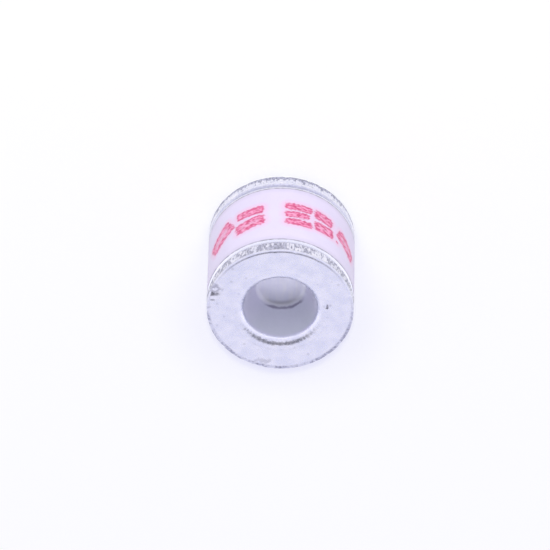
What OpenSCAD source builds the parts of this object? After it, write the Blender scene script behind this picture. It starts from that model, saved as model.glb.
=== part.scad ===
// Leadless two-electrode gas discharge tube.
// A ceramic ring is closed at both ends by pressed metal electrodes, brazed on.
// The tube stands on its lower electrode with its axis along Z.

/* [Tube] */
// Outside diameter of the ceramic and of both electrodes
tube_d = 8.0; // [7:0.1:12]
// Length over the outer faces of the two electrodes
overall_l = 7.0; // [6.4:0.1:9]
// Distance between the facing ends of the two cups
spark_gap = 1.0; // [0.4:0.05:1.6]

/* [Ceramic] */
// Wall thickness of the ceramic ring
ceramic_wall = 1.0; // [0.8:0.05:1.4]
// Chamfer on the edges of the ceramic ring
ceramic_edge = 0.12; // [0.06:0.02:0.2]

/* [Electrode flange] */
// Thickness of the flange
flange_t = 0.86; // [0.7:0.02:1.2]
// Rounding of the two outer edges of the flange
edge_r = 0.16; // [0.08:0.02:0.3]
// Rounding of the lip between the outer face and the recess
lip_r = 0.5; // [0.2:0.02:0.7]

/* [Electrode cup] */
// Clear width between the root of the cup and the bore of the ceramic
cup_clearance = 0.5; // [0.3:0.05:0.8]
// Metal thickness of the cup wall
cup_wall = 0.63; // [0.4:0.01:0.9]
// Slope of the cup wall from the axis, in degrees
cup_taper = 15; // [5:0.5:20]
// Metal left between the flat floor of the recess and the dish in the end of the cup
floor_t = 0.43; // [0.3:0.01:1]
// Rounding between the wall and the floor of the recess
recess_corner_r = 0.28; // [0.1:0.02:0.4]
// Rounding between the flange and the outside of the cup
cup_root_r = 0.2; // [0.1:0.05:0.3]
// Rounding of the end of the cup
cup_tip_r = 0.3; // [0.15:0.05:0.45]

/* [Braze rings] */
// Thickness of the braze ring in the joint
braze_t = 0.08; // [0.04:0.01:0.15]
// Distance of the braze ring from the edges of the two faces that it joins
braze_inset = 0.04; // [0:0.02:0.2]

/* [Emitter coating] */
// Thickness of the coating, which fills a dish in the end of the cup
coating_t = 0.12; // [0.05:0.01:0.25]
// Width of the bare metal ring round the coating
coating_margin = 0.3; // [0.1:0.05:0.5]

/* [Ignition stripes] */
// Number of stripes round the bore of the ceramic
stripe_count = 4; // [2:2:8]
// Width of a stripe along the bore wall
stripe_w = 0.5; // [0.2:0.05:1]
// Length of a stripe along the axis
stripe_l = 2.6; // [1:0.1:3.6]
// Thickness of a stripe
stripe_t = 0.04; // [0.02:0.01:0.1]

/* [Hidden] */
$fn = 96;
arc_steps = 8;

tube_r = tube_d / 2;
bore_r = tube_r - ceramic_wall;
joint_z = flange_t + braze_t;
ceramic_l = overall_l - 2 * joint_z;

// The recess wall and the outside of the cup are parallel lines in the section.
taper_sin = sin(cup_taper);
taper_cos = cos(cup_taper);
taper_tan = tan(cup_taper);
cup_tip_y = (overall_l - spark_gap) / 2;
recess_depth = cup_tip_y - coating_t - floor_t;
cup_outer_r = bore_r - cup_clearance;
recess_mouth_r = cup_outer_r - cup_wall / taper_cos + flange_t * taper_tan;

// Centres of the roundings that are tangent to a sloping wall
lip_centre_r = recess_mouth_r + lip_r * (1 - taper_sin) / taper_cos;
corner_centre_y = recess_depth - recess_corner_r;
corner_centre_r = recess_mouth_r - (recess_corner_r + corner_centre_y * taper_sin) / taper_cos;
root_centre_r = cup_outer_r + cup_root_r * (1 - taper_sin) / taper_cos;
tip_centre_y = cup_tip_y - cup_tip_r;
tip_centre_r = cup_outer_r - (cup_tip_r + (tip_centre_y - flange_t) * taper_sin) / taper_cos;

coating_r = tip_centre_r - coating_margin;
braze_outer_r = tube_r - max(edge_r, ceramic_edge) - braze_inset;
braze_inner_r = bore_r + ceramic_edge + braze_inset;
stripe_angle = stripe_w / bore_r * 180 / PI;

plated_metal = [0.80, 0.80, 0.86];
alumina = [0.93, 0.91, 0.97];
braze_metal = [0.62, 0.62, 0.66];
emitter_compound = [0.55, 0.53, 0.52];
carbon = [0.15, 0.15, 0.16];

// Points of an arc about a centre, from one angle to another.
function arc(centre_r, centre_y, r, from, to) = [
    for (i = [0 : arc_steps])
        let (a = from + (to - from) * i / arc_steps)
        [centre_r + r * cos(a), centre_y + r * sin(a)]
];

// Half section of an electrode, from the middle of the recess floor out over the lip,
// round the flange and back along the cup to the dish that holds the coating.
function electrode_section() = concat(
    [[0, recess_depth]],
    arc(corner_centre_r, corner_centre_y, recess_corner_r, 90, cup_taper),
    arc(lip_centre_r, lip_r, lip_r, 180 + cup_taper, 270),
    arc(tube_r - edge_r, edge_r, edge_r, 270, 360),
    arc(tube_r - edge_r, flange_t - edge_r, edge_r, 0, 90),
    arc(root_centre_r, flange_t + cup_root_r, cup_root_r, 270, 180 + cup_taper),
    arc(tip_centre_r, tip_centre_y, cup_tip_r, cup_taper, 90),
    [
        [coating_r, cup_tip_y],
        [coating_r, cup_tip_y - coating_t],
        [0, cup_tip_y - coating_t]
    ]
);

// Puts a piece that is drawn for the lower end at the upper end.
module at_upper_end() {
    translate([0, 0, overall_l])
        mirror([0, 0, 1])
            children();
}

// One electrode, with its outer face on Z = 0 and its cup pointing up.
module electrode() {
    rotate_extrude()
        polygon(electrode_section());
}

// One braze ring, lying on the inner face of the flange.
module braze_ring() {
    translate([0, 0, flange_t])
        rotate_extrude()
            translate([braze_inner_r, 0])
                square([braze_outer_r - braze_inner_r, braze_t]);
}

// One coating, filling the dish in the end of the cup.
module emitter_coating() {
    translate([0, 0, cup_tip_y - coating_t])
        cylinder(r = coating_r, h = coating_t);
}

// One stripe on the bore wall, centred on the X axis and starting at the lower end.
module ignition_stripe() {
    rotate([0, 0, -stripe_angle / 2])
        rotate_extrude(angle = stripe_angle)
            translate([bore_r - stripe_t, joint_z + ceramic_edge])
                square([stripe_t, stripe_l]);
}

module ceramic_tube() {
    color(alumina)
        translate([0, 0, joint_z])
            rotate_extrude()
                polygon([
                    [bore_r + ceramic_edge, 0],
                    [tube_r - ceramic_edge, 0],
                    [tube_r, ceramic_edge],
                    [tube_r, ceramic_l - ceramic_edge],
                    [tube_r - ceramic_edge, ceramic_l],
                    [bore_r + ceramic_edge, ceramic_l],
                    [bore_r, ceramic_l - ceramic_edge],
                    [bore_r, ceramic_edge]
                ]);
}

module lower_electrode() {
    color(plated_metal)
        electrode();
}

module upper_electrode() {
    color(plated_metal)
        at_upper_end()
            electrode();
}

module lower_braze_ring() {
    color(braze_metal)
        braze_ring();
}

module upper_braze_ring() {
    color(braze_metal)
        at_upper_end()
            braze_ring();
}

module lower_emitter_coating() {
    color(emitter_compound)
        emitter_coating();
}

module upper_emitter_coating() {
    color(emitter_compound)
        at_upper_end()
            emitter_coating();
}

// Stripes start at the lower and the upper end in turn.
module ignition_stripes() {
    color(carbon)
        for (i = [0 : stripe_count - 1])
            rotate([0, 0, i * 360 / stripe_count])
                if (i % 2 == 0)
                    ignition_stripe();
                else
                    at_upper_end()
                        ignition_stripe();
}

ceramic_tube();
lower_electrode();
upper_electrode();
lower_braze_ring();
upper_braze_ring();
lower_emitter_coating();
upper_emitter_coating();
ignition_stripes();
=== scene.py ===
"""Visual model of a leadless gas discharge tube that stands on its lower electrode."""

import logging
import math
import random
from dataclasses import dataclass
from enum import Enum
from functools import cache, reduce

import bpy
from bpy.types import Material, Node, NodeSocket, NodeTree, Object
from mathutils import Matrix, Vector


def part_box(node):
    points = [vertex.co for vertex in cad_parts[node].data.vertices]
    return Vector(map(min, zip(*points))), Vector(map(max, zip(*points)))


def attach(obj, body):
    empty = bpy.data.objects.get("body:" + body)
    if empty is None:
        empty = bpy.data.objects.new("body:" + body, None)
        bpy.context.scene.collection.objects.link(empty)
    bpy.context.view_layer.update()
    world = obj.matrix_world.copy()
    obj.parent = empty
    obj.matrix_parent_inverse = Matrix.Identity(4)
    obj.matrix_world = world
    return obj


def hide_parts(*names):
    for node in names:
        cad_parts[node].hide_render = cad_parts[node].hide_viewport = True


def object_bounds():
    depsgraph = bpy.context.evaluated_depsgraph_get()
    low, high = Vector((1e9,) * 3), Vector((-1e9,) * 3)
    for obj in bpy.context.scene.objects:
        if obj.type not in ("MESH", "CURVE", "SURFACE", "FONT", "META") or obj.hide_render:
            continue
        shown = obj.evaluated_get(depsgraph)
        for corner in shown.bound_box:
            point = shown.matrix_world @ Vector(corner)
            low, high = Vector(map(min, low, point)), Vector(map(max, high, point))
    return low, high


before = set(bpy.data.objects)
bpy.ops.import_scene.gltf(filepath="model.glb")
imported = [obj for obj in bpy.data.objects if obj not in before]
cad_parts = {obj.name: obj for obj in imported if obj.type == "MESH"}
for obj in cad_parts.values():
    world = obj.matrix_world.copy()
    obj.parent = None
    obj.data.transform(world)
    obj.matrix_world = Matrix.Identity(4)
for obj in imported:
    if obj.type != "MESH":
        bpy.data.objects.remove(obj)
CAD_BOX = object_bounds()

LOG = logging.getLogger("gas_tube")

MM = 0.001
MERGE_DISTANCE = 2e-8
SMOOTH_ANGLE = math.radians(35.0)
BUMP_DISTANCE = 0.01 * MM

# The visual stays inside the box of the solids by this much.
BOX_MARGIN = 1e-7

# Radius of the tube for the finishes, which work in millimetres.
TUBE_RADIUS = 4.0

Point = Span = tuple[float, float]
Triple = Colour = tuple[float, float, float]
Ramp = tuple[Span, Span]
Values = dict[int | str, object] | tuple[object, ...]

UNIT = (0.0, 1.0)
FALL = (1.0, 0.0)
WHITE = (1.0, 1.0, 1.0)

# Layers and limits of the mottling and the grain, radii of the pits and share of cells without one
MOTTLE_LAYERS = 4.0
MOTTLE_SPAN = (0.3, 0.7)
GRAIN_LAYERS = 3.0
GRAIN_SPAN = (0.25, 0.75)
PIT_RADII = (0.1, 0.3)
BARE_CELLS = 0.8


class End(Enum):
    """The two ends of the tube."""

    LOWER = "lower"
    UPPER = "upper"


class Press(Enum):
    """Directions in which a surface is pushed by a displacement."""

    ALONG_NORMAL = "NORMAL"
    ALONG_AXIS = "Z"


# Half sections


def arc(centre: Point, radius: float, start: float, end: float, steps: int) -> list[Point]:
    """Points of an arc in a half section.

    Args:
        centre: Radius and height of the arc's centre.
        radius: Radius of the arc.
        start: First angle, in degrees from the outward direction.
        end: Last angle, in degrees.
        steps: Number of straight steps.

    Returns:
        The points from the first angle to the last.
    """
    angles = [math.radians(start + (end - start) * i / steps) for i in range(steps + 1)]
    return [(centre[0] + radius * math.cos(a), centre[1] + radius * math.sin(a)) for a in angles]


def filled(points: list[Point], spacing: float) -> list[Point]:
    """Adds points on the long straight stretches of a half section.

    Args:
        points: Corner points, in order.
        spacing: Longest step that is left.

    Returns:
        The points with the added ones between them.
    """
    out = [points[0]]
    for (r0, z0), (r1, z1) in zip(points, points[1:]):
        count = max(1, math.ceil(math.hypot(r1 - r0, z1 - z0) / spacing))
        out += [(r0 + (r1 - r0) * i / count, z0 + (z1 - z0) * i / count) for i in range(1, count + 1)]
    return out


def fading(distance: float, reach: float) -> float:
    """Smooth weight that falls from 1 at no distance to 0 at the reach."""
    share = min(1.0, max(0.0, 1.0 - distance / reach))
    return share * share * (3.0 - 2.0 * share)


# Modelling with operators


def turned(name: str, section: list[Point], steps: int) -> Object:
    """Turns a half section about the Z axis into a closed solid.

    Args:
        name: Name of the new object.
        section: Radius and height of each point, either a closed loop or ending on the axis.
        steps: Number of steps of the turn.

    Returns:
        The new object, at the origin, selected and active.
    """
    bpy.ops.object.select_all(action="DESELECT")
    bpy.ops.mesh.primitive_plane_add(size=MM)
    piece = bpy.context.object
    piece.name = name
    piece.data.name = name
    bpy.ops.object.mode_set(mode="EDIT")
    bpy.ops.mesh.select_all(action="SELECT")
    bpy.ops.mesh.merge(type="CENTER")
    bpy.ops.transform.translate(value=(section[0][0], 0.0, section[0][1]))
    for (r0, z0), (r1, z1) in zip(section, section[1:]):
        bpy.ops.mesh.extrude_region_move(TRANSFORM_OT_translate={"value": (r1 - r0, 0.0, z1 - z0)})
    bpy.ops.object.mode_set(mode="OBJECT")
    bpy.ops.object.modifier_add(type="SCREW")
    lathe = piece.modifiers[-1]
    lathe.axis = "Z"
    lathe.angle = 2.0 * math.pi
    lathe.steps = lathe.render_steps = steps
    lathe.use_merge_vertices = True
    lathe.merge_threshold = MERGE_DISTANCE
    bpy.ops.object.modifier_apply(modifier=lathe.name)
    bpy.ops.object.mode_set(mode="EDIT")
    bpy.ops.mesh.select_all(action="SELECT")
    bpy.ops.mesh.remove_doubles(threshold=MERGE_DISTANCE)
    bpy.ops.mesh.normals_make_consistent(inside=False)
    bpy.ops.object.mode_set(mode="OBJECT")
    return piece


def pushed(piece: Object, weights: dict[int, float], depth: float, way: Press, grain: float = 0.0) -> None:
    """Pushes some points of the active piece inwards with an applied displacement.

    Args:
        piece: The piece to shape.
        weights: Share of the depth for each point, by its index.
        depth: Deepest push, in metres.
        way: Direction of the push.
        grain: Size of the lumps of a rough push, in millimetres, or 0 for a plain one.
    """
    group = piece.vertex_groups.new(name="push")
    for index, weight in weights.items():
        group.add([index], weight, "REPLACE")
    bpy.ops.object.modifier_add(type="DISPLACE")
    push = piece.modifiers[-1]
    push.vertex_group = group.name
    push.direction = way.value
    push.strength = -depth
    push.mid_level = 0.0
    ruler = None
    if grain > 0.0:
        lumps = bpy.data.textures.new(f"{piece.name}_lumps", "CLOUDS")
        lumps.noise_scale = grain
        lumps.noise_depth = 2
        lumps.contrast = 1.6
        lumps.use_clamp = True
        ruler = bpy.data.objects.new("millimetre_ruler", None)
        bpy.context.collection.objects.link(ruler)
        ruler.scale = (MM, MM, MM)
        bpy.context.view_layer.update()
        push.texture = lumps
        push.texture_coords = "OBJECT"
        push.texture_coords_object = ruler
    bpy.ops.object.modifier_apply(modifier=push.name)
    piece.vertex_groups.clear()
    if ruler is not None:
        bpy.data.objects.remove(ruler)


# Shader helpers


class Sketch:
    """Adds and links the nodes of one shader tree."""

    def __init__(self, tree: NodeTree) -> None:
        """Starts on a node tree."""
        self.tree = tree

    def add(self, kind: str, values: Values, **settings: object) -> Node:
        """Adds a node.

        Args:
            kind: Node type, such as ShaderNodeMath.
            values: What goes into its inputs, in their order or by their names.
            settings: Properties of the node.

        Returns:
            The new node.
        """
        node = self.tree.nodes.new(kind)
        for name, value in settings.items():
            setattr(node, name, value)
        self.feed(node, values)
        return node

    def feed(self, node: Node, values: Values) -> None:
        """Links wires to inputs of a node, or sets the inputs' own values.

        Args:
            node: The node.
            values: Wire, number, vector or colour for each input, in order or by name.
        """
        for key, value in values.items() if isinstance(values, dict) else enumerate(values):
            socket = node.inputs[key]
            if isinstance(value, Wire):
                self.tree.links.new(value.socket, socket)
            elif isinstance(value, tuple) and len(value) == 3 and len(socket.default_value) == 4:
                socket.default_value = (*value, 1.0)
            else:
                socket.default_value = value

    def wires(self, kind: str, values: Values, **settings: object) -> dict[str, "Wire"]:
        """Adds a node and gives its outputs by their names, in their order."""
        node = self.add(kind, values, **settings)
        return {socket.name: Wire(self, socket) for socket in node.outputs}

    def wire(self, kind: str, values: Values, output: int | str = 0, **settings: object) -> "Wire":
        """Adds a node and gives one of its outputs."""
        return Wire(self, self.add(kind, values, **settings).outputs[output])


class Wire:
    """An output socket that takes part in formulas, with numbers and other wires."""

    def __init__(self, sketch: Sketch, socket: NodeSocket) -> None:
        """Keeps the socket and the sketch of its tree."""
        self.sketch = sketch
        self.socket = socket

    def math(self, operation: str, *others: object) -> "Wire":
        """Result of a math node that starts with this wire."""
        return self.sketch.wire("ShaderNodeMath", (self, *others), operation=operation)

    def vector(self, operation: str, *others: object, output: str = "Vector") -> "Wire":
        """Result of a vector math node that starts with this wire."""
        return self.sketch.wire("ShaderNodeVectorMath", (self, *others), output, operation=operation)

    def along(self, axis: Triple) -> "Wire":
        """Part of this vector along an axis."""
        return self.vector("DOT_PRODUCT", axis, output="Value")

    def parts(self) -> list["Wire"]:
        """X, Y and Z of this vector."""
        return list(self.sketch.wires("ShaderNodeSeparateXYZ", (self,)).values())

    def __add__(self, other: object) -> "Wire":
        """Sum."""
        return self.math("ADD", other)

    def __sub__(self, other: object) -> "Wire":
        """Difference."""
        return self.math("SUBTRACT", other)

    def __rsub__(self, other: float) -> "Wire":
        """What is left of a number when this is taken from it."""
        return self * -1.0 + other

    def __mul__(self, other: object) -> "Wire":
        """Product."""
        return self.math("MULTIPLY", other)

    def away(self, other: object) -> "Wire":
        """Distance from another value."""
        return (self - other).math("ABSOLUTE")

    def larger(self, other: object) -> "Wire":
        """The larger one of this and another value."""
        return self.math("MAXIMUM", other)

    def ramp(self, span: Span, to: Span = UNIT) -> "Wire":
        """Smooth map of one span of values to another, which holds past both ends."""
        values = (self, *span, *to)
        return self.sketch.wire("ShaderNodeMapRange", values, interpolation_type="SMOOTHSTEP", clamp=True)

    def blend(self, first: object, second: object) -> "Wire":
        """Mix of two colours, with this wire as the share of the second."""
        values = {0: self, 6: first, 7: second}
        return self.sketch.wire("ShaderNodeMix", values, 2, data_type="RGBA", clamp_factor=True)

    def noise(self, scale: object, detail: float) -> "Wire":
        """Noise at this place, 0.5 on average, by its lumps in a unit and its finer layers."""
        values = {"Vector": self, "Scale": scale, "Detail": detail}
        return self.sketch.wire("ShaderNodeTexNoise", values, "Fac")

    def drift(self, lumps: Span, size: float) -> "Wire":
        """Noise of a given size at this place, 0 on average."""
        return (self.noise(*lumps) - 0.5) * size


class Group(Sketch):
    """A shader node group in the making."""

    vectors: tuple[str, ...] = ("Position", "Place", "Millimetres")

    def __init__(self, name: str, given: tuple[str, ...], wanted: tuple[str, ...]) -> None:
        """Starts the group.

        Args:
            name: Name of the group.
            given: Names of the inputs.
            wanted: Names of the outputs.
        """
        super().__init__(bpy.data.node_groups.new(name, "ShaderNodeTree"))
        for way, labels in (("INPUT", given), ("OUTPUT", wanted)):
            for label in labels:
                kind = "NodeSocketVector" if label in self.vectors else "NodeSocketFloat"
                self.tree.interface.new_socket(name=label, in_out=way, socket_type=kind)
        start = self.wires("NodeGroupInput", ())
        self.given = [start[label] for label in given]
        self.end = self.add("NodeGroupOutput", ())


@cache
def tube_place() -> NodeTree:
    """Builds the group that turns object coordinates into places on the tube, once.

    Returns:
        A group with the place in millimetres, the distance round the tube from the middle of the
        printed side, the height and the radius.
    """
    group = Group("tube_place", ("Position",), ("Millimetres", "Round", "Height", "Radius"))
    spot = group.given[0].vector("MULTIPLY", (1.0 / MM, 1.0 / MM, 1.0 / MM))
    x, y, z = spot.parts()
    around = (x * -1.0).math("ARCTAN2", y * -1.0) * TUBE_RADIUS
    radius = (x * x + y * y).math("SQRT")
    group.feed(group.end, (spot, around, z, radius))
    return group.tree


@cache
def surface_grain() -> NodeTree:
    """Builds the group with the mottling, the fine grain and the pits of a surface, once.

    Returns:
        The group.
    """
    labels = ("Place", "Mottle Scale", "Grain Scale", "Pit Scale")
    group = Group("surface_grain", labels, ("Mottle", "Grain", "Pits"))
    place, mottle_scale, grain_scale, pit_scale = group.given
    mottle = place.noise(mottle_scale, MOTTLE_LAYERS).ramp(MOTTLE_SPAN)
    grain = place.noise(grain_scale, GRAIN_LAYERS).ramp(GRAIN_SPAN)
    cells = group.wires("ShaderNodeTexVoronoi", {"Vector": place, "Scale": pit_scale}, feature="F1")
    few = group.wire("ShaderNodeSeparateColor", (cells["Color"],)).math("GREATER_THAN", BARE_CELLS)
    pits = cells["Distance"].ramp(PIT_RADII, FALL) * few
    group.feed(group.end, (mottle, grain, pits))
    return group.tree


@cache
def printed_bar() -> NodeTree:
    """Builds the group with one printed bar, once.

    Returns:
        A group whose depth is the distance in from the bar's edge, and negative outside it.
    """
    labels = ("Round", "Height", "Middle Round", "Middle Height", "Half Length", "Half Width")
    group = Group("printed_bar", (*labels, "Tilt", "Corner"), ("Depth",))
    around, height, middle_round, middle_height, half_length, half_width, tilt, corner = group.given
    across = around - middle_round
    along = height - middle_height
    cosine = tilt.math("COSINE")
    sine = tilt.math("SINE")
    u = (across * cosine + along * sine).away(0.0) - (half_length - corner)
    v = (along * cosine - across * sine).away(0.0) - (half_width - corner)
    past_u = u.larger(0.0)
    past_v = v.larger(0.0)
    outside = (past_u * past_u + past_v * past_v).math("SQRT")
    within = u.larger(v).math("MINIMUM", 0.0)
    group.feed(group.end, (corner - (outside + within),))
    return group.tree


class Surface(Sketch):
    """A material in the making, with the place of a point on the tube and its grain."""

    def __init__(self, name: str, scales: Triple) -> None:
        """Starts a material with one Principled shader.

        Args:
            name: Name of the material.
            scales: Lumps in a millimetre of the mottling, the fine grain and the pits.
        """
        self.material = bpy.data.materials.new(name)
        self.material.use_nodes = True
        super().__init__(self.material.node_tree)
        position = self.wire("ShaderNodeTexCoord", (), "Object")
        self.spot, self.around, self.height, self.radius = self.group(tube_place(), position)
        self.mottle, self.fine, self.pits = self.group(surface_grain(), self.spot, *scales)

    def group(self, tree: NodeTree, *values: object) -> list[Wire]:
        """Adds a node group with the values of its inputs and gives its outputs."""
        return list(self.wires("ShaderNodeGroup", values, node_tree=tree).values())

    def tone(self, shares: Span) -> Wire:
        """Sum of the mottling and the fine grain, each with its share."""
        return self.mottle * shares[0] + self.fine * shares[1]

    def finished(self, colour: Wire, metal: object, rough: Wire, relief: Wire, strength: float) -> Material:
        """Feeds the shader.

        Args:
            colour: Base colour.
            metal: Share of metal.
            rough: Roughness.
            relief: Height of the fine relief.
            strength: Strength of the relief.

        Returns:
            The finished material.
        """
        values = {"Strength": strength, "Distance": BUMP_DISTANCE, "Height": relief}
        normal = self.wire("ShaderNodeBump", values)
        shader = self.tree.nodes["Principled BSDF"]
        self.feed(shader, {"Base Color": colour, "Metallic": metal, "Roughness": rough, "Normal": normal})
        return self.material


# Finishes, in millimetres


@dataclass(frozen=True)
class DarkMark:
    """A dark mark on the outer face of an electrode, at a dent: its middle, half sizes and look."""

    x: float
    y: float
    half_x: float
    half_y: float
    strength: float
    ragged: float
    hollow: float = 0.0
    half_depth: float = 0.25
    lumps: Span = (5.0, 3.0)
    fade: Span = (0.4, 1.1)
    hollow_fade: float = 0.35

    def mask(self, on: Surface, face_height: float) -> Wire:
        """Builds the mask of the mark.

        Args:
            on: The electrode's surface.
            face_height: Height of the outer face.

        Returns:
            The mask, as strong as the mark in its middle or round its hollow.
        """
        away = on.spot.vector("SUBTRACT", (self.x, self.y, face_height))
        away = away.vector("DIVIDE", (self.half_x, self.half_y, self.half_depth))
        reach = away.vector("LENGTH", output="Value") + on.spot.drift(self.lumps, self.ragged)
        mark = reach.ramp(self.fade, (self.strength, 0.0))
        if self.hollow > 0.0:
            mark = mark * reach.ramp((self.hollow - self.hollow_fade, self.hollow))
        return mark


@dataclass(frozen=True)
class PlatedMetal:
    """Dull bright plating on the pressed electrodes."""

    name: str
    face_height: float
    sheared: Span
    worn: Span
    # Depth of the painted shade along the joint.
    joint_depth: float
    # Strength of the rubbed edge, which is partly wear and partly painted shade.
    rubbed_and_shaded: float
    dark_marks: tuple[DarkMark, ...] = ()

    # Colours
    light: Colour = (0.93, 0.915, 1.0)
    dark: Colour = (0.755, 0.765, 0.915)
    dull: Colour = (0.87, 0.86, 1.0)
    # Painted shade of the recess wall on its shaded side.
    wall_shade: Colour = (0.79, 0.815, 0.845)
    # Painted shade in the recess, also the colour of the dark marks on the outer face.
    shade_and_mark_colour: Colour = (0.355, 0.345, 0.42)
    pit: Colour = (0.30, 0.30, 0.34)
    # bare and torn also colour the painted shade along the joint and the outer edge.
    bare: Colour = (0.60, 0.60, 0.74)
    torn: Colour = (0.34, 0.34, 0.44)

    # Grain, gloss and relief
    scales: Triple = (1.6, 6.0, 2.6)
    tone_shares: Span = (0.55, 0.45)
    pit_share: float = 0.25
    roughness: Span = (0.24, 0.34)
    recess_rougher: float = 0.26
    floor_smoother: float = 0.14
    worn_rougher: float = 0.15
    relief_shares: Span = (0.65, 0.35)
    worn_sunk: float = 1.5
    pits_sunk: float = 0.6
    recess_flatter: float = 0.92
    relief: float = 0.4

    # Recess, with the side that takes the painted shade
    mouth: Span = (2.08, 2.20)
    mouth_depths: Span = (0.2, 0.5)
    floor: Span = (1.15, 1.45)
    floor_depths: Span = (1.95, 2.25)
    streaks: Triple = (5.0, 0.8, 1.0)
    streak_lumps: Span = (1.0, 2.0)
    streak_ramp: Ramp = ((0.35, 0.75), (0.0, 0.8))
    shaded_side: Triple = (-0.174, 0.985, 0.0)
    wall_side: Span = (0.2, 1.5)
    foot_depth: float = 2.24
    foot_lumps: Span = (2.2, 3.0)
    foot_drift: float = 0.30
    foot_width: Span = (0.03, 0.17)
    foot_shade: Ramp = ((0.92, 1.28), (0.0, 0.92))
    corner: Span = (1.0, 1.3)
    corner_depths: Span = (2.13, 2.27)
    corner_shade: Ramp = ((0.75, 1.25), (0.0, 0.44))

    # Torn rim, and rubbed edge with painted shade
    rim: Span = (TUBE_RADIUS - 0.12, TUBE_RADIUS - 0.06)
    rim_depths: Span = (0.16, 0.5)
    rubbed_and_shaded_depths: Span = (0.16, 0.2)
    band_fade: float = 0.05
    drawn: Triple = (1.0, 1.0, 0.4)
    drawn_lumps: Span = (8.0, 4.0)
    stretch_lumps: Span = (1.1, 1.0)
    stretch_drift: float = 0.35
    torn_edge: Span = (-0.08, 0.05)
    torn_lumps: Span = (9.0, 2.0)
    torn_span: Span = (0.35, 0.65)

    # Painted shade along the joint, on the back edge of the flange
    joint: Span = (TUBE_RADIUS - 0.5, TUBE_RADIUS - 0.4)
    joint_start: Ramp = ((-0.02, 0.02), (0.0, 0.45))
    joint_end: Ramp = ((0.07, 0.12), (1.0, 0.3))

    # Scuffed outer edge with painted shade, which grows toward the back
    scuff_and_shade: Span = (TUBE_RADIUS - 0.14, TUBE_RADIUS - 0.01)
    scuff_and_shade_depths: Span = (0.03, 0.08)
    scuff_and_shade_lumps: Span = (3.2, 3.0)
    scuff_and_shade_ramp: Ramp = ((0.40, 0.60), (0.3, 1.0))
    deeper: Ramp = ((-1.5, 2.0), (0.0, 0.07))
    wider: Ramp = ((-1.5, 3.0), (0.04, 0.18))
    heavier: Ramp = ((-2.5, 1.5), (0.1, 1.0))

    def material(self) -> Material:
        """Builds the material.

        Returns:
            The finished material.
        """
        on = Surface(self.name, self.scales)
        depth = on.height.away(self.face_height)
        within = on.radius.ramp(self.mouth, FALL) * depth.ramp(self.mouth_depths)
        sunk = on.radius.ramp(self.floor, FALL) * depth.ramp(self.floor_depths)
        lower = on.spot.along(self.shaded_side)
        colour = on.tone(self.tone_shares).blend(self.dark, self.light)
        colour = (on.pits * self.pit_share).blend(colour, self.pit)
        # Painted shade: the recess wall turns from the light colour to grey toward the shaded side.
        colour = within.blend(colour, lower.ramp(self.wall_side).blend(self.light, self.wall_shade))
        streaked = on.spot.vector("MULTIPLY", self.streaks).noise(*self.streak_lumps).ramp(*self.streak_ramp)
        colour = sunk.blend(colour, streaked.blend(self.dull, self.light))
        # Painted shade at the foot and in the corner of the recess, with the dark marks on the outer face.
        colour = self.painted_shade_and_marks(on, depth, within, lower).blend(colour, self.shade_and_mark_colour)
        # worn holds the wear and also the painted shade along the joint and the outer edge.
        worn = self.wear_and_painted_shade(on, depth)
        torn = on.spot.noise(*self.torn_lumps).ramp(self.torn_span)
        colour = worn.blend(colour, torn.blend(self.torn, self.bare))
        rough = on.fine.ramp(UNIT, self.roughness) + within * self.recess_rougher
        rough = rough - sunk * self.floor_smoother + worn * self.worn_rougher
        relief = on.tone(self.relief_shares) - worn * self.worn_sunk - on.pits * self.pits_sunk
        relief = relief * (1.0 - within * self.recess_flatter)
        return on.finished(colour, 1.0, rough, relief, self.relief)

    def painted_shade_and_marks(self, on: Surface, depth: Wire, within: Wire, lower: Wire) -> Wire:
        """Builds the mask of the painted shade at the foot and in the corner of the recess, and of the dark
        marks on the outer face.

        Args:
            on: The electrode's surface.
            depth: Distance from the outer face.
            within: Mask of the recess.
            lower: Distance toward the side that takes the painted shade.

        Returns:
            The mask.
        """
        # Painted shade in a line along the foot of the recess wall and in the corner of its floor, toward
        # the shaded side.
        foot = depth.away(self.foot_depth) + on.spot.drift(self.foot_lumps, self.foot_drift)
        line = within * foot.ramp(self.foot_width, FALL) * lower.ramp(*self.foot_shade)
        corner = on.radius.ramp(self.corner) * depth.ramp(self.corner_depths) * lower.ramp(*self.corner_shade)
        dark_marks = [dark_mark.mask(on, self.face_height) for dark_mark in self.dark_marks]
        return reduce(Wire.larger, [line, corner, *dark_marks])

    def wear_and_painted_shade(self, on: Surface, depth: Wire) -> Wire:
        """Builds the mask of the torn rim, of the rubbed and the scuffed outer edge with their painted
        shade, and of the painted shade along the joint.

        Args:
            on: The electrode's surface.
            depth: Distance from the outer face.

        Returns:
            The mask.
        """
        rim = on.radius.ramp(self.rim)
        low, high = self.sheared
        above = on.height.ramp((low - self.band_fade, low + self.band_fade))
        below = on.height.ramp((high - self.band_fade, high + self.band_fade), FALL)
        lumps = on.spot.vector("MULTIPLY", self.drawn).noise(*self.drawn_lumps)
        lumps = lumps + on.spot.drift(self.stretch_lumps, self.stretch_drift)
        left = lumps - depth.ramp(self.rim_depths, self.worn)
        torn = rim * above * below * left.ramp(self.torn_edge, FALL)
        # Rubbed outer edge, darkened all round: partly wear, partly painted shade.
        rubbed_and_shaded = rim * self.rubbed_and_shaded * depth.ramp(self.rubbed_and_shaded_depths, FALL)
        # Painted shade in a line along the joint with the ceramic.
        past = depth - self.joint_depth
        joint = past.ramp(*self.joint_start) * past.ramp(*self.joint_end) * on.radius.ramp(self.joint)
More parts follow.
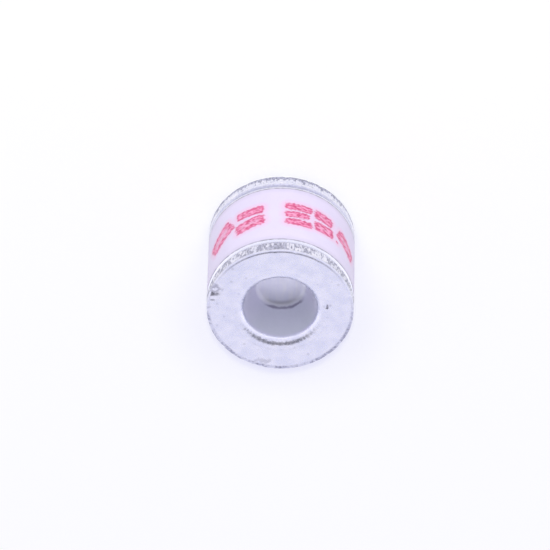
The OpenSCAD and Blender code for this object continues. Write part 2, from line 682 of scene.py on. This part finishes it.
        # Broken dark edge: scuffing, with painted shade that grows heavier, wider and deeper toward the
        # back.
        back = on.spot.parts()[1]
        near = (depth - back.ramp(*self.deeper)).ramp(self.scuff_and_shade_depths, FALL)
        outer = (on.radius + back.ramp(*self.wider)).ramp(self.scuff_and_shade)
        broken = on.spot.noise(*self.scuff_and_shade_lumps).ramp(*self.scuff_and_shade_ramp) * back.ramp(*self.heavier)
        return reduce(Wire.larger, [torn, rubbed_and_shaded, joint, broken * near * outer])


@dataclass(frozen=True)
class InkBar:
    """One printed bar: its middle and sizes round the tube and along it, and its tilt in degrees."""

    middle_round: float
    middle_height: float
    length: float
    width: float
    tilt: float = 0.0


PRINT = (
    InkBar(-3.87, 3.62, 1.95, 1.20, -31.0),
    InkBar(-1.85, 2.98, 1.66, 0.70, 0.0),
    InkBar(-1.85, 4.02, 1.76, 0.92, -11.0),
    InkBar(0.90, 2.84, 1.56, 0.60, 2.0),
    InkBar(0.82, 3.53, 1.40, 0.56, -2.0),
    InkBar(0.92, 4.22, 1.54, 0.56, 2.0),
    InkBar(2.40, 3.00, 1.22, 0.80, 7.0),
    InkBar(2.44, 3.98, 1.28, 0.82, -5.0),
    InkBar(4.25, 3.62, 1.75, 1.00, 26.0),
    InkBar(3.37, 4.26, 0.15, 0.15),
)


@dataclass(frozen=True)
class PrintedAlumina:
    """White ceramic with plated edges and worn red bars printed round it."""

    name: str
    bottom: float
    top: float

    # Colours
    light: Colour = (0.84, 0.77, 0.93)
    dark: Colour = (0.80, 0.73, 0.90)
    ink: Colour = (0.62, 0.033, 0.148)
    thin_ink: Colour = (0.98, 0.20, 0.42)
    haze: Colour = (0.93, 0.58, 0.78)
    plating: Colour = (0.91, 0.91, 0.99)
    # Colour of the fine seam and of the painted shade beside the joints.
    seam_and_shade: Colour = (0.30, 0.29, 0.35)

    # Grain, gloss and relief
    scales: Triple = (0.9, 18.0, 4.0)
    tone_shares: Span = (0.5, 0.5)
    pit_share: float = 0.3
    roughness: Span = (0.40, 0.54)
    plated_smoother: float = 0.2
    ink_relief: float = 0.8
    relief: float = 0.25

    # Print, by the distance in from the edge of a bar
    corner: float = 0.22
    haze_ramp: Ramp = ((-0.45, 0.05), (0.0, 0.7))
    brushing: float = 0.55
    edge_lumps: Span = (10.0, 4.0)
    edge_drift: float = 0.46
    inked_depths: Span = (-0.04, 0.07)
    outline_depths: Span = (0.05, 0.16)
    outline_share: float = 0.75
    speckle_lumps: Span = (7.0, 4.0)
    speckle_span: Span = (0.40, 0.62)
    speckle_share: float = 0.9
    cover_ramp: Ramp = ((0.0, 0.6), (0.6, 0.96))
    rubbed_ramp: Ramp = ((0.26, 0.50), (1.0, 0.45))

    # Plated edges, with the seam and the painted shade beside them, by the distance in from the plating
    plated_top: float = 0.11
    plated_bottom: float = 0.21
    wander_lumps: Span = (4.0, 3.0)
    wander: float = 0.03
    plated_edge: Span = (-0.015, 0.015)
    seam_ramp: Ramp = ((0.03, 0.13), (0.95, 0.0))
    broken_ramp: Ramp = ((-0.2, 0.1), (0.5, 1.0))
    # Painted shade that fades onto the ceramic from both joints.
    shade_ramp: Ramp = ((0.0, 0.5), (0.2, 0.0))

    def material(self) -> Material:
        """Builds the material.

        Returns:
            The finished material.
        """
        on = Surface(self.name, self.scales)
        body = on.tone(self.tone_shares).blend(self.dark, self.light)
        body = (on.pits * self.pit_share).blend(body, self.dark)
        depth = self.print_depth(on)
        body = depth.ramp(*self.haze_ramp).blend(body, self.haze)
        cover, ink = self.worn_ink(on, depth)
        plated, seam_and_shade = self.plated_edges(on)
        # The seam colour also paints the shade that fades onto the ceramic from the joints.
        colour = seam_and_shade.blend(cover.blend(body, ink), self.seam_and_shade)
        rough = on.fine.ramp(UNIT, self.roughness) - plated * self.plated_smoother
        relief = on.fine + cover * self.ink_relief
        return on.finished(plated.blend(colour, self.plating), plated, rough, relief, self.relief)

    def worn_ink(self, on: Surface, depth: Wire) -> tuple[Wire, Wire]:
        """Builds the ragged, speckled ink.

        Args:
            on: The ceramic's surface.
            depth: Distance in from the edge of the nearest bar.

        Returns:
            The mask of the ink and its colour.
        """
        stroke = on.wire("ShaderNodeCombineXYZ", {"X": on.around * self.brushing, "Y": on.height})
        uneven = depth + stroke.drift(self.edge_lumps, self.edge_drift)
        outline = uneven.ramp(self.outline_depths, FALL) * self.outline_share
        speckle = stroke.noise(*self.speckle_lumps).ramp(self.speckle_span) * self.speckle_share
        thickness = outline.larger(speckle)
        cover = uneven.ramp(self.inked_depths) * thickness.ramp(*self.cover_ramp)
        return cover * uneven.ramp(*self.rubbed_ramp), thickness.blend(self.thin_ink, self.ink)

    def plated_edges(self, on: Surface) -> tuple[Wire, Wire]:
        """Builds the masks of the plated chamfers and of the fine seam with the painted shade beside them.

        Args:
            on: The ceramic's surface.

        Returns:
            The mask of the plating and the mask of the seam with the painted shade.
        """
        wander = on.spot.drift(self.wander_lumps, 1.0)
        from_top = self.top - self.plated_top - on.height
        from_bottom = on.height - (self.bottom + self.plated_bottom)
        inset = from_top.math("MINIMUM", from_bottom) + wander * self.wander
        seam_and_shade = inset.ramp(*self.seam_ramp) * wander.ramp(*self.broken_ramp)
        return inset.ramp(self.plated_edge, FALL), seam_and_shade.larger(inset.ramp(*self.shade_ramp))

    def print_depth(self, on: Surface) -> Wire:
        """Finds the distance in from the edge of the nearest printed bar.

        Args:
            on: The ceramic's surface.

        Returns:
            The distance, negative off the print.
        """
        depths = []
        for bar in PRINT:
            middle = (bar.middle_round, bar.middle_height)
            halves = (bar.length / 2.0, bar.width / 2.0)
            turn = (math.radians(bar.tilt), min(self.corner, *halves))
            depths += on.group(printed_bar(), on.around, on.height, *middle, *halves, *turn)
        return reduce(Wire.larger, depths)


@dataclass(frozen=True)
class MottledMatter:
    """Plain grained finish of the braze and of the pieces inside the tube."""

    name: str
    light: Colour
    dark: Colour
    metallic: float
    roughness: Span
    scales: Triple = (2.2, 12.0, 6.0)
    pit_share: float = 0.4
    relief: float = 0.4

    def material(self) -> Material:
        """Builds the material.

        Returns:
            The finished material.
        """
        on = Surface(self.name, self.scales)
        colour = on.mottle.blend(self.dark, self.light)
        colour = (on.pits * self.pit_share).blend(colour, self.dark)
        rough = on.fine.ramp(UNIT, self.roughness)
        return on.finished(colour, self.metallic, rough, on.fine, self.relief)


# Pieces, in metres


@dataclass(frozen=True)
class Dent:
    """A knock in an electrode: its place on the outer face and its size; the grain is in millimetres."""

    x: float
    y: float
    reach: float
    depth: float
    direction: Press = Press.ALONG_AXIS
    flat: float = 0.0
    grain: float = 0.0


@dataclass
class Electrode:
    """A pressed electrode: flange, rounded lip, tapered recess and cup."""

    end: End
    finish: PlatedMetal
    tube_radius: float
    length: float
    tube_length: float
    dents: tuple[Dent, ...] = ()

    # Pressed form
    flange: float = 0.86 * MM
    edge: float = 0.16 * MM
    lip: float = 0.5 * MM
    taper: float = 15.0
    mouth_radius: float = 2.0782 * MM
    cup_wall: float = 0.63 * MM
    recess_depth: float = 2.45 * MM
    recess_corner: float = 0.28 * MM
    root: float = 0.2 * MM
    tip: float = 0.3 * MM
    coating: float = 0.12 * MM
    coating_margin: float = 0.3 * MM

    # Fineness, with the steps of the arcs from the recess floor round to the cup's end
    arc_steps: tuple[int, ...] = (10, 16, 8, 6, 4, 5)
    coarse: float = 0.10 * MM
    fine: float = 0.045 * MM
    turns: int = 560

    # Torn rim and lip, with shares of the edge and of the lip
    torn_depth: float = 0.025 * MM
    torn_grain: float = 0.14
    rim_share: float = 0.4
    lip_width: float = 1.2
    lip_height: float = 0.5
    lip_depth: float = 0.5

    # Handling marks
    dent_end: float = 0.6 * MM
    nicks: int = 14
    nick_inset: float = 0.3
    nick_reach: Span = (0.10, 0.24)
    nick_depth: Span = (0.012, 0.03)

    @property
    def node(self) -> str:
        """Name of the solid that this piece stands for."""
        return f"{self.end.value}_electrode"

    def section(self) -> list[Point]:
        """Half section with the outer face on height 0 and the cup pointing up.

        Returns:
            Points from the middle of the recess floor round to the dish in the cup's end.
        """
        sine = math.sin(math.radians(self.taper))
        cosine = math.cos(math.radians(self.taper))
        outer = self.mouth_radius + self.cup_wall / cosine
        corner_y = self.recess_depth - self.recess_corner
        corner_r = self.mouth_radius - (self.recess_corner + corner_y * sine) / cosine
        lip_r = self.mouth_radius + self.lip * (1.0 - sine) / cosine
        root_y = self.flange + self.root
        root_r = outer + (self.root - root_y * sine) / cosine
        tip_y = self.length - self.tip
        tip_r = outer - (self.tip + tip_y * sine) / cosine
        dish_r = tip_r - self.coating_margin
        dish_y = self.length - self.coating
        rim_r = self.tube_radius - self.edge
        corner_n, lip_n, front_n, back_n, root_n, tip_n = self.arc_steps
        inside = [(0.0, self.recess_depth)]
        inside += arc((corner_r, corner_y), self.recess_corner, 90.0, self.taper, corner_n)
        inside += arc((lip_r, self.lip), self.lip, 180.0 + self.taper, 270.0, lip_n)
        seen = [inside[-1]]
        seen += arc((rim_r, self.edge), self.edge, 270.0, 360.0, front_n)
        seen += arc((rim_r, self.flange - self.edge), self.edge, 0.0, 90.0, back_n)
        hidden = [seen[-1]]
        hidden += arc((root_r, root_y), self.root, 270.0, 180.0 + self.taper, root_n)
        hidden += arc((tip_r, tip_y), self.tip, self.taper, 90.0, tip_n)
        hidden += [(dish_r, self.length), (dish_r, dish_y), (0.0, dish_y)]
        coarse = self.coarse
        return filled(inside, coarse)[:-1] + filled(seen, self.fine)[:-1] + filled(hidden, 2.0 * coarse)

    def build(self) -> Object:
        """Turns the section and works the marks of pressing and handling into it.

        Returns:
            The finished piece.
        """
        section = self.section()
        if self.end is End.UPPER:
            section = [(r, self.tube_length - y) for r, y in section]
        piece = turned(f"{self.node}_plated", section, self.turns)
        self.tear_rim(piece)
        for dent in self.dents:
            self.knock(piece, dent)
        self.nick_edge(piece)
        bpy.ops.object.shade_smooth_by_angle(angle=SMOOTH_ANGLE)
        return piece

    def outer_depth(self, z: float) -> float:
        """Distance of a height from the outer face of this electrode."""
        return self.tube_length - z if self.end is End.UPPER else z

    def tear_rim(self, piece: Object) -> None:
        """Roughens the sheared band of the rim and, less deeply, the lip of the recess.

        Args:
            piece: The turned electrode.
        """
        low, high = (height * MM for height in self.finish.sheared)
        rim_from = self.tube_radius - self.rim_share * self.edge
        lip_to = self.mouth_radius + self.lip_width * self.lip
        rim = {}
        lip = {}
        for point in piece.data.vertices:
            radius = math.hypot(point.co.x, point.co.y)
            if radius > rim_from and low < point.co.z < high:
                rim[point.index] = 1.0
            shallow = self.outer_depth(point.co.z) < self.lip_height * self.lip
            if shallow and self.mouth_radius < radius < lip_to:
                lip[point.index] = 1.0
        pushed(piece, rim, self.torn_depth, Press.ALONG_NORMAL, self.torn_grain)
        pushed(piece, lip, self.lip_depth * self.torn_depth, Press.ALONG_NORMAL, self.torn_grain)

    def knock(self, piece: Object, dent: Dent) -> None:
        """Presses one dent into the outer face or its edge.

        Args:
            piece: The turned electrode.
            dent: The dent.
        """
        weights = {}
        for point in piece.data.vertices:
            depth = self.outer_depth(point.co.z)
            if depth < self.dent_end:
                distance = math.hypot(point.co.x - dent.x, point.co.y - dent.y) - dent.flat
                weight = fading(distance, dent.reach - dent.flat)
                weight *= fading(depth - self.edge, self.dent_end - self.edge)
                if weight > 0.0:
                    weights[point.index] = weight
        sign = -1.0 if self.end is End.LOWER and dent.direction is Press.ALONG_AXIS else 1.0
        pushed(piece, weights, sign * dent.depth, dent.direction, dent.grain)

    def nick_edge(self, piece: Object) -> None:
        """Presses small handling marks into the outer edge of the flange.

        Args:
            piece: The turned electrode.
        """
        draw = random.Random(self.node)
        ring = self.tube_radius - self.nick_inset * self.edge
        for _ in range(self.nicks):
            angle = draw.uniform(0.0, 2.0 * math.pi)
            reach = draw.uniform(*self.nick_reach) * MM
            depth = draw.uniform(*self.nick_depth) * MM
            mark = Dent(ring * math.cos(angle), ring * math.sin(angle), reach, depth, Press.ALONG_NORMAL)
            self.knock(piece, mark)

    def dress(self, piece: Object) -> None:
        """Gives the piece its plating, hides the solid that it replaces and hangs it under the root body.

        Args:
            piece: The built piece.
        """
        piece.data.materials.append(self.finish.material())
        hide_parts(self.node)
        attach(piece, "root")


@dataclass
class CeramicTube:
    """The printed ceramic ring between the electrodes."""

    finish: PrintedAlumina
    outer_radius: float
    bottom: float
    top: float
    wall: float = 1.0 * MM
    edge: float = 0.12 * MM
    rounding: float = 0.03 * MM
    rounding_steps: int = 3
    spacing: float = 0.2 * MM
    turns: int = 360

    def section(self) -> list[Point]:
        """Closed half section with chamfered edges.

        Returns:
            The points, ending where they began.
        """
        outer = self.outer_radius
        inner = outer - self.wall
        cut = self.edge
        return [
            (inner + cut, self.bottom),
            (outer - cut, self.bottom),
            (outer, self.bottom + cut),
            (outer, self.top - cut),
            (outer - cut, self.top),
            (inner + cut, self.top),
            (inner, self.top - cut),
            (inner, self.bottom + cut),
            (inner + cut, self.bottom),
        ]

    def build(self) -> Object:
        """Turns the ring and softens its edges.

        Returns:
            The finished piece.
        """
        piece = turned("ceramic_tube_printed", filled(self.section(), self.spacing), self.turns)
        bpy.ops.object.modifier_add(type="BEVEL")
        soften = piece.modifiers[-1]
        soften.width = self.rounding
        soften.segments = self.rounding_steps
        soften.limit_method = "ANGLE"
        soften.angle_limit = SMOOTH_ANGLE
        bpy.ops.object.modifier_apply(modifier=soften.name)
        bpy.ops.object.shade_smooth_by_angle(angle=SMOOTH_ANGLE)
        return piece

    def dress(self, piece: Object) -> None:
        """Gives the piece its ceramic finish, hides the solid that it replaces and hangs it under the root
        body.

        Args:
            piece: The built piece.
        """
        piece.data.materials.append(self.finish.material())
        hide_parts("ceramic_tube")
        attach(piece, "root")


@dataclass
class BrazeRing:
    """The set solder in one joint, drawn in at its edges."""

    end: End
    finish: MottledMatter
    outer_radius: float
    bottom: float
    top: float
    inner_radius: float = 3.16 * MM
    arc_steps: int = 8
    turns: int = 256

    def build(self) -> Object:
        """Turns the ring with a hollow edge inside and outside.

        Returns:
            The finished piece.
        """
        middle = (self.bottom + self.top) / 2.0
        half = (self.top - self.bottom) / 2.0
        section = arc((self.outer_radius, middle), half, 270.0, 90.0, self.arc_steps)
        section += arc((self.inner_radius, middle), half, 90.0, -90.0, self.arc_steps)
        section.append(section[0])
        piece = turned(f"{self.end.value}_braze_fillet", section, self.turns)
        bpy.ops.object.shade_smooth_by_angle(angle=SMOOTH_ANGLE)
        return piece

    def dress(self, piece: Object) -> None:
        """Gives the piece its solder finish, hides the solid that it replaces and hangs it under the root
        body.

        Args:
            piece: The built piece.
        """
        piece.data.materials.append(self.finish.material())
        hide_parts(f"{self.end.value}_braze_ring")
        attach(piece, "root")


# Studio


@dataclass(frozen=True)
class SoftLamp:
    """A round soft light aimed at the tube."""

    name: str
    direction: Triple
    distance: float
    size: float
    power: float

    def build(self, target: Vector) -> None:
        """Adds the lamp.

        Args:
            target: Point that the lamp looks at.
        """
        toward = Vector(self.direction).normalized()
        bpy.ops.object.light_add(type="AREA", location=target + toward * self.distance)
        lamp = bpy.context.object
        lamp.name = self.name
        lamp.data.shape = "DISK"
        lamp.data.size = self.size
        lamp.data.energy = self.power
        lamp.visible_glossy = False
        lamp.rotation_euler = toward.to_track_quat("Z", "Y").to_euler()


@dataclass
class Studio:
    """Pale floor, soft sky and lamps."""

    target: Vector

    # Floor
    floor_size: float = 1.6
    floor_drop: float = 0.004 * MM
    floor_colour: Colour = (0.82, 0.82, 0.85)
    floor_roughness: float = 0.9
    shadow_colour: Colour = (0.60, 0.60, 0.18)
    glow_colour: Colour = (0.43, 0.43, 0.84)

    # Sky, with its share as a light, its brighter horizon and its dim patch overhead
    sky_colour: Colour = (0.89, 0.89, 1.0)
    sky_strength: float = 1.0
    sky_light: float = 0.72
    low_ramp: Ramp = ((0.1, 0.65), (0.34, 0.0))
    low_side: Span = (0.42, 0.62)
    shade_lean: float = 7.0
    shade_width: float = 42.0
    shade_height: float = 24.0
    shade_strength: float = 0.26
    shade_fade: Span = (0.75, 1.2)
    facing_fade: Span = (0.0, 0.2)

    lamps: tuple[SoftLamp, ...] = (
        SoftLamp("left_lamp", (0.28, -0.96, 1.12), 0.40, 0.12, 0.29),
        SoftLamp("right_lamp", (-0.28, -0.96, 1.12), 0.40, 0.12, 0.25),
        SoftLamp("front_lamp", (0.0, -0.612, 0.791), 0.40, 0.014, 0.30),
    )

    def build(self) -> None:
        """Adds the floor, the sky and the lamps."""
        self.lay_floor()
        self.hang_sky()
        for lamp in self.lamps:
            lamp.build(self.target)

    def lay_floor(self) -> None:
        """Adds the floor, which looks white and keeps the shadow of the tube."""
        bpy.ops.object.select_all(action="DESELECT")
        bpy.ops.mesh.primitive_plane_add(size=self.floor_size, location=(0.0, 0.0, -self.floor_drop))
        floor = bpy.context.object
        floor.name = "studio_floor"
        material = bpy.data.materials.new("pale_floor")
        material.use_nodes = True
        sketch = Sketch(material.node_tree)
        path = sketch.wires("ShaderNodeLightPath", ())
        seen = path["Is Camera Ray"].larger(path["Is Glossy Ray"]).larger(path["Is Transmission Ray"])
        values = {
            "Base Color": seen.blend(self.floor_colour, self.shadow_colour),
            "Roughness": self.floor_roughness,
            "Specular IOR Level": 0.0,
            "Emission Color": self.glow_colour,
            "Emission Strength": seen,
        }
        sketch.feed(material.node_tree.nodes["Principled BSDF"], values)
        floor.data.materials.append(material)

    def hang_sky(self) -> None:
        """Sets a soft sky that looks white to the camera, with a bright horizon and a dim patch."""
        world = bpy.data.worlds.new("soft_sky")
        bpy.context.scene.world = world
        world.use_nodes = True
        sketch = Sketch(world.node_tree)
        toward = sketch.wire("ShaderNodeTexCoord", (), "Generated")
        _, back, height = toward.parts()
        low = height.ramp(*self.low_ramp) * back.ramp(self.low_side, FALL)
        dim = self.dim_patch(toward) * (self.sky_strength - self.shade_strength)
        path = sketch.wires("ShaderNodeLightPath", ())
        mirrored = path["Is Glossy Ray"].larger(path["Is Transmission Ray"])
        glow = (low + self.sky_strength - dim) * mirrored.ramp(UNIT, (self.sky_light, 1.0))
        seen = path["Is Camera Ray"]
        strength = sketch.wire("ShaderNodeMix", {0: seen, 2: glow, 3: 1.0}, data_type="FLOAT")
        values = {"Color": seen.blend(self.sky_colour, WHITE), "Strength": strength}
        sketch.feed(world.node_tree.nodes["Background"], values)

    def dim_patch(self, toward: Wire) -> Wire:
        """Builds the mask of the soft oval patch overhead, which leans to the printed side.

        Args:
            toward: Direction in the sky.

        Returns:
            The mask, 1 in the middle of the patch.
        """
        sine = math.sin(math.radians(self.shade_lean))
        cosine = math.cos(math.radians(self.shade_lean))
        across = toward.along((1.0, 0.0, 0.0))
        across = across.math("DIVIDE", math.sin(math.radians(self.shade_width)))
        along = toward.along((0.0, -cosine, -sine))
        along = along.math("DIVIDE", math.sin(math.radians(self.shade_height)))
        apart = (across * across + along * along).math("SQRT")
        facing = toward.along((0.0, -sine, cosine))
        return facing.ramp(self.facing_fade) * apart.ramp(self.shade_fade, FALL)


@dataclass
class PhotoCamera:
    """Camera that sees the upper electrode as the near end of a lying tube."""

    near_centre: Vector
    axis_angle: float = 36.0
    turn: float = 1.4
    frame_pixels: float = 550.0
    near_pixel: Point = (280.2, 310.5)
    pixels_per_mm: float = 18.48
    distance: float = 0.40
    sensor: float = 36.0
    clip_shares: Span = (0.1, 10.0)

    def build(self) -> None:
        """Adds the camera with the printed side of the tube upwards in the picture."""
        lean = math.radians(self.axis_angle)
        turn = math.radians(self.turn)
        back = Vector((0.0, -math.sin(lean), math.cos(lean)))
        rise = Vector((0.0, -math.cos(lean), -math.sin(lean)))
        side = Vector((-1.0, 0.0, 0.0))
        right = side * math.cos(turn) + rise * math.sin(turn)
        up = rise * math.cos(turn) - side * math.sin(turn)
        middle = self.frame_pixels / 2.0
        pixel = MM / self.pixels_per_mm
        offset = right * (middle - self.near_pixel[0]) + up * (self.near_pixel[1] - middle)
        aim = self.near_centre + offset * pixel
        bpy.ops.object.camera_add()
        camera = bpy.context.object
        camera.name = "photo_camera"
        turned_frame = Matrix((right, up, back)).transposed().to_4x4()
        camera.matrix_world = Matrix.Translation(aim + back * self.distance) @ turned_frame
        camera.data.sensor_width = self.sensor
        camera.data.lens = self.sensor * self.distance / (pixel * self.frame_pixels)
        camera.data.clip_start = self.clip_shares[0] * self.distance
        camera.data.clip_end = self.clip_shares[1] * self.distance
        bpy.context.scene.camera = camera


# The tube as a whole


FACE_DENTS = (
    Dent(3.52 * MM, -1.25 * MM, 0.48 * MM, 0.032 * MM, flat=0.12 * MM),
    Dent(3.58 * MM, -1.24 * MM, 0.42 * MM, 0.028 * MM, flat=0.20 * MM, grain=0.18),
    Dent(3.84 * MM, -1.14 * MM, 0.32 * MM, 0.075 * MM),
    Dent(3.72 * MM, -0.68 * MM, 0.17 * MM, 0.028 * MM),
    Dent(3.58 * MM, -0.66 * MM, 0.16 * MM, 0.022 * MM),
    Dent(-2.54 * MM, -0.42 * MM, 0.12 * MM, 0.06 * MM),
    Dent(-2.53 * MM, -0.27 * MM, 0.12 * MM, 0.06 * MM),
    Dent(1.60 * MM, 3.50 * MM, 0.42 * MM, 0.05 * MM, grain=0.16),
    Dent(1.00 * MM, 3.68 * MM, 0.42 * MM, 0.05 * MM, grain=0.16),
)

FACE_DARK_MARKS = (
    DarkMark(0.90, 3.42, 0.56, 0.22, 0.40, 2.0),
    DarkMark(3.60, -1.32, 0.46, 0.44, 0.70, 1.5, 0.4),
    DarkMark(-2.55, -0.30, 0.09, 0.16, 0.8, 0.5),
)

UPPER_PLATING = PlatedMetal("upper_plating", 7.0, (6.24, 6.86), (0.54, 0.54), 0.76, 0.3, FACE_DARK_MARKS)
LOWER_PLATING = PlatedMetal("lower_plating", 0.0, (0.06, 0.60), (0.66, 0.40), 0.74, 0.5)
BRAZE = MottledMatter("set_braze", (0.72, 0.72, 0.80), (0.45, 0.45, 0.52), 1.0, (0.38, 0.6))
EMITTER = MottledMatter("emitter_compound", (0.52, 0.50, 0.48), (0.38, 0.36, 0.35), 0.0, (0.7, 0.95))
CARBON = MottledMatter("carbon_stripe", (0.05, 0.05, 0.055), (0.025, 0.025, 0.03), 0.0, (0.5, 0.8))


def dress_solid(name: str, finish: MottledMatter) -> None:
    """Gives a solid that stays as it is its finish.

    Args:
        name: Name of the solid.
        finish: Its finish.
    """
    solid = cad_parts[name]
    material = finish.material()
    if solid.material_slots:
        for slot in solid.material_slots:
            slot.material = material
    else:
        solid.data.materials.append(material)


def main() -> None:
    """Builds the tube, the studio and the camera."""
    logging.basicConfig(level=logging.INFO, format="%(name)s: %(message)s")
    tube_radius = min(-CAD_BOX[0].x, CAD_BOX[1].x) - BOX_MARGIN
    tube_length = CAD_BOX[1].z
    parts = []
    for end, finish, dents in ((End.LOWER, LOWER_PLATING, ()), (End.UPPER, UPPER_PLATING, FACE_DENTS)):
        low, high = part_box(f"{end.value}_electrode")
        parts.append(Electrode(end, finish, tube_radius, high.z - low.z, tube_length, dents))
    low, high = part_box("ceramic_tube")
    alumina = PrintedAlumina("printed_alumina", low.z / MM, high.z / MM)
    parts.append(CeramicTube(alumina, tube_radius, low.z, high.z))
    for end in End:
        low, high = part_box(f"{end.value}_braze_ring")
        parts.append(BrazeRing(end, BRAZE, high.x, low.z, high.z))
    for part in parts:
        piece = part.build()
        part.dress(piece)
        LOG.info("%s: %d faces", piece.name, len(piece.data.polygons))
    for name, finish in (
        ("lower_emitter_coating", EMITTER),
        ("upper_emitter_coating", EMITTER),
        ("ignition_stripes", CARBON),
    ):
        dress_solid(name, finish)
        LOG.info("%s: kept as a solid", name)
    Studio(Vector((0.0, 0.0, tube_length / 2.0))).build()
    PhotoCamera(Vector((0.0, 0.0, tube_length))).build()
    bpy.context.scene.view_settings.view_transform = "Standard"


if __name__ == "__main__":
    main()
